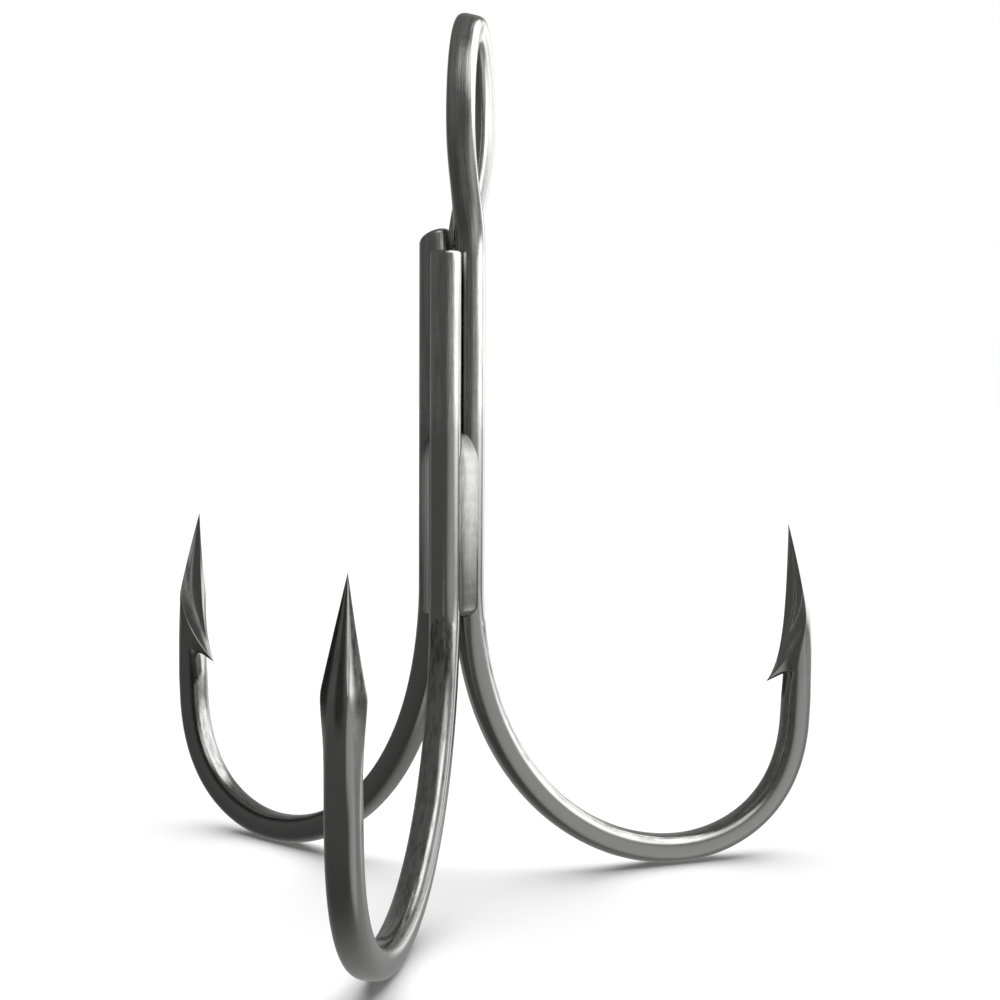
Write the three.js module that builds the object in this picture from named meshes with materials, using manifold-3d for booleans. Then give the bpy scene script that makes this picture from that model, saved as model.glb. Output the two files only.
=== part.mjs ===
// Large treble hook: three forged wire hooks brazed together back to back, 120 degrees apart.
// Millimetres, +Z up. The hook stands on its three bends with the eye at the top, and the front
// hook points along -Y.
//
// Each hook is drawn in a plane of its own. There x runs from the treble's axis out towards the
// point, z runs up, and y runs across the wire. The finished hook is then turned about the axis.

import * as THREE from 'three';
import { mergeVertices } from 'three/addons/utils/BufferGeometryUtils.js';
import Module from 'manifold-3d';

const wasm = await Module();
wasm.setup();

// ---- Driving dimensions ----------------------------------------------------------------------

const WIRE_RADIUS = 1.5;
const SHANK_OFFSET = 1.985;             // treble axis to the centre line of each shank
const FRONT_ANGLE = -90;                // degrees from +X towards +Y
const RIGHT_ANGLE = 30;
const LEFT_ANGLE = 150;

const FORGED = { halfWidth: 1.44, halfDepth: 1.42, innerCorner: 0.55, outerCorner: 1.1 };
const FORGING_RUN = 9.8;                // length over which the round wire becomes forged

const BEND_TOP = 29.4;                  // height where the straight shank ends
const BEND_BOTTOM_REACH = 24.95;        // axis to the lowest point of the bend
const POINT_LIMB_REACH = 38.3;          // axis to the foot of the point's limb
const POINT_LIMB_FOOT = 14.15;
const POINT_LIMB_TOP = 16.4;
const POINT_LIMB_LEAN = 0.053;          // outward run per unit of rise

// Handles of the two curves of the bend: reach from the axis, and height where it is not the bottom's.
const SHANK_HANDLE_HEIGHT = 10.9;
const BOTTOM_HANDLE_IN = 13.98;
const BOTTOM_HANDLE_OUT = 29.4;
const LIMB_HANDLE_REACH = 37.75;
const LIMB_HANDLE_HEIGHT = 3.7;

const POINT_TIP = new THREE.Vector3(37.2, 0, 34.6);
const BARB_TIP = new THREE.Vector3(34.87, 0, 18.1);
const SHOULDER = new THREE.Vector3(38.4, 1.88, 25.6);       // widest corner of the ground point
const BACK_SHOULDER = new THREE.Vector3(39.7, 0.6, 25.5);   // where the cut along the back begins
const HOLLOW_GRIND = 0.4;               // depth of the hollow in the inner facets
const HOLLOW_FULLNESS = 0.6;            // below 1, the hollow keeps its depth nearer to its ends

// Handles of the curves that bound the point: the ridge, the corner, the land, and the barb's sweep.
const RIDGE_HANDLES = [new THREE.Vector3(36.8, 0, 20.2), new THREE.Vector3(37.1, 0, 25.5)];
const CORNER_HANDLE = new THREE.Vector3(38.25, 1.15, 28.9);
const LAND_HANDLE = new THREE.Vector3(38.9, 0.36, 28.5);
const SWEEP_HANDLES = [new THREE.Vector3(36.3, 0.45, 19.5), new THREE.Vector3(38.1, 1.45, 21.9)];

// Half of the ring at the foot of the barb, from the inner side round to the outer side.
const BARB_ROOT = [
  new THREE.Vector3(37.35, 0, 19.0),
  new THREE.Vector3(37.35, 0.6, 19.05),
  new THREE.Vector3(37.42, 1.05, 19.2),
  new THREE.Vector3(37.7, 1.34, 19.5),
  new THREE.Vector3(38.5, 1.46, 20.0),
  new THREE.Vector3(38.95, 1.45, 20.1),
  new THREE.Vector3(39.62, 1.14, 20.2),
  new THREE.Vector3(39.95, 0.55, 20.3),
  new THREE.Vector3(40.0, 0, 20.3),
];

const FRONT_SHANK_TOP = { height: 61.4, slope: 0, rim: 0.3 };
const LEFT_SHANK_TOP = { height: 63.3, slope: 0.42, rim: 0.55 };

const EYE = {
  turn: 60,                             // degrees between the eye's plane and its hook's plane
  foot: 60.6,                           // height where the eye leaves the shank
  widest: 74.0,
  top: 82.57,                           // centre line of the wire at the top
  halfWidth: 3.84,                      // between centre lines
  lean: -0.16,                          // the loop's middle, along the eye's plane
  twist: 0.04,                          // sideways run per unit along the eye's plane
  slackness: 0.45,                      // how far the sides run straight before they curve
};
const TAIL = { end: 48.5, rim: 0.3, clearance: 0.03, drop: 3 };
const CIRCLE_HANDLE = 0.5523;           // handle, per unit of radius, that follows a quarter circle

const BRAZE_BOTTOM = 26.4;
const BRAZE_TOP = 44.7;
const BRAZE_CLEARANCE = 0.03;           // filler to wire, and filler to filler
const BRAZE_CONTACT = 13;               // degrees past the flush line where a fillet meets its wire
const FILLET_HOLLOW = 0.85;             // 1 would leave the fillet's face tangent to its wires
const HEAD_LENGTH = 2.8;                // of a fillet's head, in half widths
const HEAD_BLUNTNESS = 0.5;
const SEAM_MARGIN = 0.2;                // between a seam's edge and the middle of its wire
const TAIL_SEAM_MARGIN = 0.15;
const TAIL_BRAZE_BOTTOM = 49.6;
const TAIL_BRAZE_TOP = 56.4;

// ---- Resolution ------------------------------------------------------------------------------

const SHANK_SIDE_STEPS = 20;
const POINT_SIDE_STEPS = 14;
const EYE_STEPS = 44;
const FACET_PARTS = [0, 0.25, 0.5, 0.75];
const BACK_PARTS = [1 / 3, 2 / 3];
const POINT_PARTS = [0.12, 0.26, 0.42, 0.6, 0.8];
const SEAM_SEGMENTS = 8;
const MASK_DEPTH = 12;
const SAME_POINT = 1e-4;

// ---- Materials -------------------------------------------------------------------------------

function steel(colour, roughness) {
  return new THREE.MeshStandardMaterial({ color: colour, roughness, metalness: 1 });
}

const forgedSteel = steel(0x4a4a48, 0.32);
const croppedSteel = steel(0x3c3c3b, 0.42);
const fillerMetal = steel(0x8c8c89, 0.28);

// ---- Cross-sections --------------------------------------------------------------------------

// Half of a section, from the middle of the inner side round to the middle of the outer side, as
// nine points: x towards the inside of the bend, y across the wire. At forging 0 it is round.
const HALF_STEPS = 8;
const CORNER_STEPS = 3;
const QUARTER = Math.PI / 2;

function halfSection(forging) {
  const mix = THREE.MathUtils.lerp;
  const halfWidth = mix(WIRE_RADIUS, FORGED.halfWidth, forging);
  const halfDepth = mix(WIRE_RADIUS, FORGED.halfDepth, forging);
  const points = [new THREE.Vector2(halfDepth, 0)];
  const addCorner = (radius, side) => {
    for (let step = 1; step <= CORNER_STEPS; step += 1) {
      const round = (QUARTER * step) / (CORNER_STEPS + 1);
      const tight = (QUARTER * (step - 1)) / (CORNER_STEPS - 1);
      const angle = mix(round, tight, forging);
      points.push(new THREE.Vector2(
        side * (halfDepth - radius) + radius * Math.cos(side > 0 ? angle : Math.PI - QUARTER + angle),
        halfWidth - radius + radius * Math.sin(side > 0 ? angle : QUARTER + angle),
      ));
    }
  };
  addCorner(mix(WIRE_RADIUS, FORGED.innerCorner, forging), 1);
  points.push(new THREE.Vector2(0, halfWidth));
  addCorner(mix(WIRE_RADIUS, FORGED.outerCorner, forging), -1);
  points.push(new THREE.Vector2(-halfDepth, 0));
  return points;
}

// A full ring from half of one: the second half is the first, mirrored across the wire.
function fullRing(half, mirror) {
  const back = half.slice(1, HALF_STEPS).reverse().map(mirror);
  return [...half, ...back];
}

// The ring of a station, a place on the wire with its inward and sideways directions.
function sectionRing(station, shrink = 0) {
  const scale = 1 - shrink / WIRE_RADIUS;
  const half = halfSection(station.forging).map((point) => point.multiplyScalar(scale));
  const mirrored = fullRing(half, (point) => new THREE.Vector2(point.x, -point.y));
  return mirrored.map((point) => station.place.clone()
    .addScaledVector(station.inward, point.x)
    .addScaledVector(station.sideways, point.y));
}

// ---- Closed lofts ----------------------------------------------------------------------------

// One closed body through a list of rings, ending in a point at both ends.
function loft(rings, startPoint, endPoint) {
  const count = rings[0].length;
  const positions = [startPoint, ...rings.flat(), endPoint].flatMap((point) => point.toArray());
  const last = rings.length * count + 1;
  const index = [];
  for (let side = 0; side < count; side += 1) {
    const next = (side + 1) % count;
    index.push(0, 1 + side, 1 + next);
    for (let ring = 0; ring < rings.length - 1; ring += 1) {
      const a = 1 + ring * count + side;
      const b = 1 + ring * count + next;
      index.push(a, b + count, b, a, a + count, b + count);
    }
    index.push(last, last - count + next, last - count + side);
  }
  const geometry = new THREE.BufferGeometry();
  geometry.setAttribute('position', new THREE.Float32BufferAttribute(positions, 3));
  geometry.setIndex(index);
  return geometry;
}

// ---- The wire from the shank round the bend --------------------------------------------------

const ACROSS = new THREE.Vector3(0, 1, 0);
const UP = new THREE.Vector3(0, 0, 1);

function inPlane(x, z) {
  return new THREE.Vector3(x, 0, z);
}

function bendCurves() {
  const top = inPlane(SHANK_OFFSET, BEND_TOP);
  const bottom = inPlane(BEND_BOTTOM_REACH, FORGED.halfDepth);
  const foot = inPlane(POINT_LIMB_REACH, POINT_LIMB_FOOT);
  const belowTop = inPlane(SHANK_OFFSET, SHANK_HANDLE_HEIGHT);
  const beforeBottom = inPlane(BOTTOM_HANDLE_IN, FORGED.halfDepth);
  const afterBottom = inPlane(BOTTOM_HANDLE_OUT, FORGED.halfDepth);
  const belowFoot = inPlane(LIMB_HANDLE_REACH, LIMB_HANDLE_HEIGHT);
  const shankSide = new THREE.CubicBezierCurve3(top, belowTop, beforeBottom, bottom);
  const pointSide = new THREE.CubicBezierCurve3(bottom, afterBottom, belowFoot, foot);
  return [shankSide, pointSide];
}

function planarStation(place, direction, forging) {
  const inward = inPlane(-direction.z, direction.x);
  return { place, inward, sideways: ACROSS.clone(), forging };
}

function wireStations() {
  const [shankSide, pointSide] = bendCurves();
  const stations = [];
  const along = (curve, steps, first) => {
    for (let step = first; step <= steps; step += 1) {
      const place = curve.getPointAt(step / steps);
      const run = curve === shankSide ? (curve.getLength() * step) / steps : FORGING_RUN;
      const forging = THREE.MathUtils.smoothstep(run, 0, FORGING_RUN);
      stations.push(planarStation(place, curve.getTangentAt(step / steps), forging));
    }
  };
  along(shankSide, SHANK_SIDE_STEPS, 0);
  along(pointSide, POINT_SIDE_STEPS, 1);
  const rise = POINT_LIMB_TOP - POINT_LIMB_FOOT;
  const limbTop = inPlane(POINT_LIMB_REACH + POINT_LIMB_LEAN * rise, POINT_LIMB_TOP);
  stations.push(planarStation(limbTop, inPlane(POINT_LIMB_LEAN, 1).normalize(), 1));
  return stations;
}

// ---- The ground point and its barb -----------------------------------------------------------

function mirrorAcross(point) {
  return new THREE.Vector3(point.x, -point.y, point.z);
}

// Points between the corner of a facet and the edge of the flat land along the back.
function backOf(corner, landEdge) {
  const between = BACK_PARTS.map((part) => corner.clone().lerp(landEdge, part));
  return [...between, landEdge, new THREE.Vector3(landEdge.x, 0, landEdge.z)];
}

// The lower edge of the inner facets: a sweep from the barb's tip up to each shoulder.
function barbEdgeRing() {
  const edge = new THREE.CubicBezierCurve3(BARB_TIP, ...SWEEP_HANDLES, SHOULDER);
  const half = FACET_PARTS.map((part) => edge.getPoint(part));
  return fullRing([...half, SHOULDER, ...backOf(SHOULDER, BACK_SHOULDER)], mirrorAcross);
}

// A ring of the five-sided point, at a part of the way from the barb's edge to the tip.
function pointRing(part) {
  const ridge = new THREE.CubicBezierCurve3(BARB_TIP, ...RIDGE_HANDLES, POINT_TIP);
  const corner = new THREE.QuadraticBezierCurve3(SHOULDER, CORNER_HANDLE, POINT_TIP);
  const land = new THREE.QuadraticBezierCurve3(BACK_SHOULDER, LAND_HANDLE, POINT_TIP);
  const depth = HOLLOW_GRIND * Math.sin(Math.PI * part) ** HOLLOW_FULLNESS;
  const onRidge = ridge.getPoint(part);
  const onCorner = corner.getPoint(part);
  const facet = FACET_PARTS.map((across) => {
    const point = onRidge.clone().lerp(onCorner, across);
    point.x += depth * Math.sin(Math.PI * across);
    return point;
  });
  return fullRing([...facet, onCorner, ...backOf(onCorner, land.getPoint(part))], mirrorAcross);
}

function pointRings() {
  return [fullRing(BARB_ROOT, mirrorAcross), barbEdgeRing(), ...POINT_PARTS.map(pointRing)];
}

// ---- Plain hooks -----------------------------------------------------------------------------

// The cropped end of a shank: a rim that narrows to the cut, which may slope away from the axis.
function shankEnd(end) {
  const station = (height) => planarStation(inPlane(SHANK_OFFSET, height), inPlane(0, -1), 0);
  const slope = (point) => {
    point.z -= end.slope * (point.x - SHANK_OFFSET);
    return point;
  };
  const cut = sectionRing(station(end.height), end.rim).map(slope);
  const rim = sectionRing(station(end.height - end.rim)).map(slope);
  return { centre: inPlane(SHANK_OFFSET, end.height), rings: [cut, rim] };
}

function plainHook(end) {
  const top = shankEnd(end);
  const wire = wireStations().map((station) => sectionRing(station));
  return loft([...top.rings, ...wire, ...pointRings()], top.centre, POINT_TIP);
}

// ---- The eyed hook ---------------------------------------------------------------------------

// A place near the eye: along its plane and across it from the shank's centre line, at a height.
function eyePlace(along, across, height) {
  const offset = new THREE.Vector3(across, along, height);
  offset.applyAxisAngle(UP, THREE.MathUtils.degToRad(EYE.turn - 90));
  return offset.add(inPlane(SHANK_OFFSET, 0));
}

// The tail lies in the groove behind its own shank and the left one, touching neither.
function tailPlace(height) {
  const reach = 2 * WIRE_RADIUS + TAIL.clearance;
  const halfSpan = SHANK_OFFSET * Math.cos(THREE.MathUtils.degToRad(RIGHT_ANGLE));
  const depth = Math.sqrt(reach * reach - halfSpan * halfSpan);
  return eyePlace(depth, -halfSpan, height);
}

function eyeCurve() {
  const { foot, widest, top, halfWidth, lean, twist, slackness } = EYE;
  const low = (widest - foot) * slackness;
  const high = (top - widest) * CIRCLE_HANDLE;
  const side = halfWidth * CIRCLE_HANDLE;
  const start = eyePlace(0, 0, foot);
  const aboveStart = eyePlace(0, 0, foot + low);
  const near = (height) => eyePlace(lean - halfWidth, -twist * halfWidth, height);
  const far = (height) => eyePlace(lean + halfWidth, twist * halfWidth, height);
  const crown = (along) => eyePlace(lean + along, twist * along, top);
  const path = new THREE.CurvePath();
  path.add(new THREE.CubicBezierCurve3(start, aboveStart, near(widest - low), near(widest)));
  path.add(new THREE.CubicBezierCurve3(near(widest), near(widest + high), crown(-side), crown(0)));
  path.add(new THREE.CubicBezierCurve3(crown(0), crown(side), far(widest + high), far(widest)));
  const tail = tailPlace(foot - TAIL.drop);
  const aboveTail = tailPlace(foot + low - TAIL.drop);
  path.add(new THREE.CubicBezierCurve3(far(widest), far(widest - low), aboveTail, tail));
  return path;
}

// Stations up from the shank, round the eye and down the tail, carrying the section along untwisted.
function eyeStations() {
  const path = eyeCurve();
  const places = Array.from({ length: EYE_STEPS + 1 }, (_, step) => path.getPointAt(step / EYE_STEPS));
  places.push(tailPlace(TAIL.end + TAIL.rim));
  const directions = places.map((place, step) => {
    const before = places[Math.max(step - 1, 0)];
    const after = places[Math.min(step + 1, places.length - 1)];
    return after.clone().sub(before).normalize();
  });
  directions[0].copy(UP);
  directions[EYE_STEPS].copy(UP).negate();
  const inward = inPlane(1, 0);
  const sideways = ACROSS.clone();
  return places.map((place, step) => {
    if (step > 0) {
      const turn = new THREE.Quaternion().setFromUnitVectors(directions[step - 1], directions[step]);
      inward.applyQuaternion(turn);
      sideways.applyQuaternion(turn);
    }
    return { place, inward: inward.clone(), sideways: sideways.clone(), forging: 0 };
  });
}

function eyedHook() {
  const stations = eyeStations();
  const end = { ...stations[stations.length - 1], place: tailPlace(TAIL.end) };
  const eye = [sectionRing(end, TAIL.rim), ...stations.reverse().map((station) => sectionRing(station))];
  const wire = wireStations().map((station) => sectionRing(station));
  return loft([...eye, ...wire, ...pointRings()], end.place, POINT_TIP);
}

// ---- Braze filler ----------------------------------------------------------------------------

function toSolid(geometry) {
  const bare = geometry.clone();
  bare.deleteAttribute('normal');
  bare.deleteAttribute('uv');
  const merged = mergeVertices(bare, SAME_POINT);
  return new wasm.Manifold(new wasm.Mesh({
    numProp: 3,
    vertProperties: new Float32Array(merged.attributes.position.array),
    triVerts: new Uint32Array(merged.index.array),
  }));
}

function toGeometry(solid) {
  const mesh = solid.getMesh();
  const geometry = new THREE.BufferGeometry();
  geometry.setAttribute('position', new THREE.BufferAttribute(new Float32Array(mesh.vertProperties), 3));
  geometry.setIndex(new THREE.BufferAttribute(new Uint32Array(mesh.triVerts), 1));
  return geometry;
}

// A fillet between two wires whose centres lie at (depth, halfSpan) and (depth, -halfSpan). It faces
// +X, and runs in to innerPoint between the wires, or to the cusp where they all but touch.
function filletShape(depth, halfSpan, innerPoint) {
  const radius = WIRE_RADIUS + BRAZE_CLEARANCE;
  const contact = THREE.MathUtils.degToRad(BRAZE_CONTACT);
  const outerX = depth + radius * Math.cos(contact);
  const outerY = halfSpan - radius * Math.sin(contact);
  const meet = Math.acos(Math.min(halfSpan / radius, 1));
  const inner = innerPoint === null ? QUARTER - meet : Math.PI - Math.atan2(halfSpan, depth);
  const hollow = FILLET_HOLLOW * outerY * Math.tan(contact);
  const shape = new THREE.Shape();
  shape.moveTo(outerX, outerY);
  shape.quadraticCurveTo(outerX - hollow, 0, outerX, -outerY);
  shape.absarc(depth, -halfSpan, radius, contact, inner, false);
  if (innerPoint !== null) {
    shape.lineTo(innerPoint, 0);
  }
  shape.absarc(depth, halfSpan, radius, -inner, -contact, false);
  return shape;
}

// The fillet's outline seen face on: a round foot where the wires part, a longer head.
function filletOutline(halfWidth, bottom, top) {
  const outline = new THREE.Shape();
  const head = top - halfWidth * HEAD_LENGTH;
  outline.moveTo(-halfWidth, bottom + halfWidth);
  outline.absarc(0, bottom + halfWidth, halfWidth, Math.PI, 2 * Math.PI, false);
  outline.lineTo(halfWidth, head);
  outline.bezierCurveTo(halfWidth, top, halfWidth * HEAD_BLUNTNESS, top, 0, top);
  outline.bezierCurveTo(-halfWidth * HEAD_BLUNTNESS, top, -halfWidth, top, -halfWidth, head);
  return outline;
}

function brazeSeam(shape, halfWidth, bottom, top) {
  const options = { bevelEnabled: false, curveSegments: SEAM_SEGMENTS };
  const run = new THREE.ExtrudeGeometry(shape, { depth: top - bottom, ...options });
  run.translate(0, 0, bottom);
  const outline = filletOutline(halfWidth, bottom, top);
  const mask = new THREE.ExtrudeGeometry(outline, { depth: MASK_DEPTH, ...options });
  mask.applyMatrix4(new THREE.Matrix4().makeBasis(ACROSS, UP, inPlane(1, 0)));
  mask.translate(-MASK_DEPTH / 2, 0, 0);
  return toGeometry(toSolid(run).intersect(toSolid(mask)));
}

function shankSeam() {
  const depth = SHANK_OFFSET * Math.cos(Math.PI / 3);
  const halfSpan = SHANK_OFFSET * Math.sin(Math.PI / 3);
  const shape = filletShape(depth, halfSpan, BRAZE_CLEARANCE);
  return brazeSeam(shape, halfSpan - SEAM_MARGIN, BRAZE_BOTTOM, BRAZE_TOP);
}

function tailSeam() {
  const halfSpan = WIRE_RADIUS + TAIL.clearance / 2;
  const shape = filletShape(0, halfSpan, null);
  return brazeSeam(shape, halfSpan - TAIL_SEAM_MARGIN, TAIL_BRAZE_BOTTOM, TAIL_BRAZE_TOP);
}

// ---- Assembly --------------------------------------------------------------------------------

const treble = new THREE.Group();

function turned(name, geometry, material, degrees) {
  const mesh = new THREE.Mesh(geometry, material);
  mesh.name = name;
  mesh.rotation.z = THREE.MathUtils.degToRad(degrees);
  return mesh;
}

treble.add(turned('front_hook', plainHook(FRONT_SHANK_TOP), forgedSteel, FRONT_ANGLE));
treble.add(turned('left_hook', plainHook(LEFT_SHANK_TOP), croppedSteel, LEFT_ANGLE));
treble.add(turned('eyed_hook', eyedHook(), forgedSteel, RIGHT_ANGLE));

treble.add(turned('braze_front_right', shankSeam(), fillerMetal, (FRONT_ANGLE + RIGHT_ANGLE) / 2));
treble.add(turned('braze_front_left', shankSeam(), fillerMetal, (LEFT_ANGLE + FRONT_ANGLE + 360) / 2));
treble.add(turned('braze_rear', shankSeam(), fillerMetal, (RIGHT_ANGLE + LEFT_ANGLE) / 2));

// Each tail fillet faces away from the groove, square to the line from the tail to its shank.
function addTailSeam(name, shankAngle, outwardTurn) {
  const shank = inPlane(SHANK_OFFSET, 0).applyAxisAngle(UP, THREE.MathUtils.degToRad(shankAngle));
  const tail = tailPlace(0).applyAxisAngle(UP, THREE.MathUtils.degToRad(RIGHT_ANGLE));
  const line = tail.clone().sub(shank);
  const facing = THREE.MathUtils.radToDeg(Math.atan2(line.y, line.x)) + outwardTurn;
  const seam = turned(name, tailSeam(), fillerMetal, facing);
  seam.position.copy(shank.add(tail).multiplyScalar(0.5)).setZ(0);
  treble.add(seam);
}

addTailSeam('braze_tail_right', RIGHT_ANGLE, -90);
addTailSeam('braze_tail_left', LEFT_ANGLE, 90);

// The origin is on the floor under the middle of the whole hook.
const bounds = new THREE.Box3().setFromObject(treble, true);
treble.position.y = -(bounds.min.y + bounds.max.y) / 2;

export default treble;
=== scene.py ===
"""Large treble hook: three forged wire hooks brazed together back to back.

Lengths are in millimetres while a shape is worked out, and turn into metres when its mesh is made.
Each hook is drawn in a plane of its own, with x running out from the treble's axis, z up, and y across
the wire, and is then turned about the axis. The curves along the wires are the CAD's, with far more
points. The sections differ a little: the forged bend is rounder than the CAD's, and the eye is pressed.
"""

import math

import bpy
import numpy as np
from mathutils import Matrix, Vector


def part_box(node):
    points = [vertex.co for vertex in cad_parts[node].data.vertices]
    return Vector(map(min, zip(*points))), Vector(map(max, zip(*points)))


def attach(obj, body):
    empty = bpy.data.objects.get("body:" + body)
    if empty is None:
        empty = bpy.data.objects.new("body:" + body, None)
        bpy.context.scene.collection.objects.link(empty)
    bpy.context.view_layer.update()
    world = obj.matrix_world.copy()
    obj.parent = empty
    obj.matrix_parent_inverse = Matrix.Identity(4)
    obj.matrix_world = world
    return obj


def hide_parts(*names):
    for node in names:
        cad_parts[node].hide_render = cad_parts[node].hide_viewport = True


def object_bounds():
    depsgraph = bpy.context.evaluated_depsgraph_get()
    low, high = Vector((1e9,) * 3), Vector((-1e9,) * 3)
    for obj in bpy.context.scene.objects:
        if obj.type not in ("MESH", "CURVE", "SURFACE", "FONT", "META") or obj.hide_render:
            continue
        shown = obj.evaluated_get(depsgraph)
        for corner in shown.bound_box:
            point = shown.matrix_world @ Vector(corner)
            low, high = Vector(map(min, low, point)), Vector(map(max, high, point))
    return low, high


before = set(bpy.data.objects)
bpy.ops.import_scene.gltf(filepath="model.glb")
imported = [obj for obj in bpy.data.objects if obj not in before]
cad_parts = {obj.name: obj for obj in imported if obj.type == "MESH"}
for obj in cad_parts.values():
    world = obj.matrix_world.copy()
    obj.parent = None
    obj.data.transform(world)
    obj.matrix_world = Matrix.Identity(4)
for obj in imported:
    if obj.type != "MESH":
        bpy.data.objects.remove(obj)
cad_low, cad_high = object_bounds()

# ---- Driving dimensions, as in the CAD ---------------------------------------------------------

MM = 0.001
WIRE_RADIUS = 1.5
SHANK_OFFSET = 1.985
FRONT_ANGLE, RIGHT_ANGLE, LEFT_ANGLE = -90, 30, 150

FORGED_HALF_WIDTH = 1.44
FORGED_HALF_DEPTH = 1.42
FORGED_INNER_SQUARENESS = 2.6     # 2 is an ellipse, more is squarer
FORGED_OUTER_SQUARENESS = 2.9
FORGING_RUN = 9.8
FORGED_FROM = 2.6

BEND_TOP = 29.4
BEND_BOTTOM_REACH = 24.95
POINT_LIMB_REACH = 38.3
POINT_LIMB_FOOT = 14.15
POINT_LIMB_TOP = 16.4
POINT_LIMB_LEAN = 0.053

POINT_TIP = np.array([37.2, 0, 34.6])
BARB_TIP = np.array([34.87, 0, 18.1])
SHOULDER = np.array([38.4, 1.88, 25.6])
BACK_SHOULDER = np.array([39.7, 0.6, 25.5])
HOLLOW_GRIND = 0.4     # depth of the hollow in the inner facets
HOLLOW_FULLNESS = 0.6  # below 1, the hollow keeps its depth nearer to its ends

FRONT_SHANK_TOP = {"height": 61.4, "slope": 0, "rim": 0.3}
LEFT_SHANK_TOP = {"height": 63.3, "slope": 0.42, "rim": 0.55}

EYE_TURN = 60
EYE_FOOT = 60.6
EYE_WIDEST = 74.0
EYE_TOP = 82.57
EYE_HALF_WIDTH = 3.84
EYE_LEAN = -0.16
EYE_TWIST = 0.04
EYE_SQUARENESS = 4.0
EYE_HALF_THICKNESS = 1.36
EYE_ROLL = 12
TAIL_END = 48.5
TAIL_RIM = 0.3
TAIL_CLEARANCE = 0.03

BRAZE_BOTTOM, BRAZE_TOP = 26.4, 44.7
BRAZE_CLEARANCE = 0.03
BRAZE_CONTACT = 13
FILLET_HOLLOW = 0.85
FOOT_ROUNDING = 0.7
SEAM_NARROWEST = 0.06
TAIL_BRAZE_BOTTOM, TAIL_BRAZE_TOP = 49.6, 56.4

# The front shank's back is the side nearest the axis, which gives the axis's place in the frame.
AXIS_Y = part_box("front_hook")[1].y / MM + SHANK_OFFSET - WIRE_RADIUS

# ---- Curves ------------------------------------------------------------------------------------

MEASURING_STEPS = 400     # points on each curve when its length is measured


def mix(a, b, share):
    return a + (b - a) * share


def smoothstep(x):
    x = np.clip(x, 0, 1)
    return x * x * (3 - 2 * x)


def bezier(points, t):
    """A Bezier curve of any degree at the parameters t, as one row of coordinates for each."""
    t = np.atleast_1d(t)[:, None]
    layer = [np.broadcast_to(np.asarray(p, float), (len(t), 3)) for p in points]
    while len(layer) > 1:
        layer = [mix(a, b, t) for a, b in zip(layer, layer[1:])]
    return layer[0]


def in_plane(x, z):
    return np.array([x, 0.0, z])


def turned(x, y, degrees):
    """The point or points x, y, turned about the origin."""
    turn = math.radians(degrees)
    return x * math.cos(turn) - y * math.sin(turn), x * math.sin(turn) + y * math.cos(turn)


def evenly(curve, steps, start=0.0):
    """Points along a chain of Bezier curves, evenly spaced by length, from the share start to the end."""
    fine = np.concatenate([bezier(part, np.linspace(0, 1, MEASURING_STEPS)) for part in curve])
    length = np.concatenate([[0], np.cumsum(np.linalg.norm(np.diff(fine, axis=0), axis=1))])
    at = np.linspace(start, 1, steps + 1) * length[-1]
    return np.stack([np.interp(at, length, fine[:, axis]) for axis in range(3)], axis=1)


def directions_of(places):
    run = np.gradient(places, axis=0)
    return run / np.linalg.norm(run, axis=1)[:, None]


# ---- Cross-sections ----------------------------------------------------------------------------

# Steps round half of a ring: the inner facet, the back facet, and half of the land along the back.
FACET_STEPS, BACK_STEPS, LAND_STEPS = 24, 18, 6
HALF_STEPS = FACET_STEPS + BACK_STEPS + LAND_STEPS
RING = 2 * HALF_STEPS
CROWDING = 0.85           # 0 is evenly spaced, 1 closes up fully towards both ends


def crowded(steps):
    """Shares from 0 to 1, closer together at both ends."""
    even = np.linspace(0, 1, steps + 1)
    return mix(even, 0.5 - 0.5 * np.cos(np.pi * even), CROWDING)


def half_shares(crowding):
    """Places round a half ring, from 0 at the inner middle to 1 at the outer middle."""
    corner, land = FACET_STEPS / HALF_STEPS, (FACET_STEPS + BACK_STEPS) / HALF_STEPS
    close = np.concatenate([
        crowded(FACET_STEPS)[:-1] * corner,
        corner + crowded(BACK_STEPS)[:-1] * (land - corner),
        mix(land, 1, np.linspace(0, 1, LAND_STEPS + 1)),
    ])
    return mix(np.linspace(0, 1, HALF_STEPS + 1), close, crowding)


def half_section(forging, crowding=0.0):
    """Half of a section: x towards the inside of the bend, y across the wire. At forging 0 it is round."""
    angle = np.pi * half_shares(crowding)
    half_depth = mix(WIRE_RADIUS, FORGED_HALF_DEPTH, forging)
    half_width = mix(WIRE_RADIUS, FORGED_HALF_WIDTH, forging)
    squareness = np.where(np.cos(angle) > 0, FORGED_INNER_SQUARENESS, FORGED_OUTER_SQUARENESS)
    power = mix(2.0, squareness, forging)
    deep = np.abs(np.cos(angle)) / half_depth
    wide = np.abs(np.sin(angle)) / half_width
    reach = (deep ** power + wide ** power) ** (-1 / power)
    return np.stack([reach * np.cos(angle), reach * np.abs(np.sin(angle))], axis=1)


def full_ring(half):
    """A full ring from half of one: the second half is the first, mirrored across the wire."""
    back = half[1:-1][::-1].copy()
    back[:, 1] *= -1
    return np.concatenate([half, back])


def station(place, inward, sideways, forging=0.0, crowding=0.0, shrink=0.0):
    """A ring of points round a place on the wire, and where each lies in the section."""
    flat = full_ring(half_section(forging, crowding)) * (1 - shrink / WIRE_RADIUS)
    return place + flat[:, :1] * inward + flat[:, 1:] * sideways, flat


# ---- Lofted meshes -----------------------------------------------------------------------------


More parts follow.
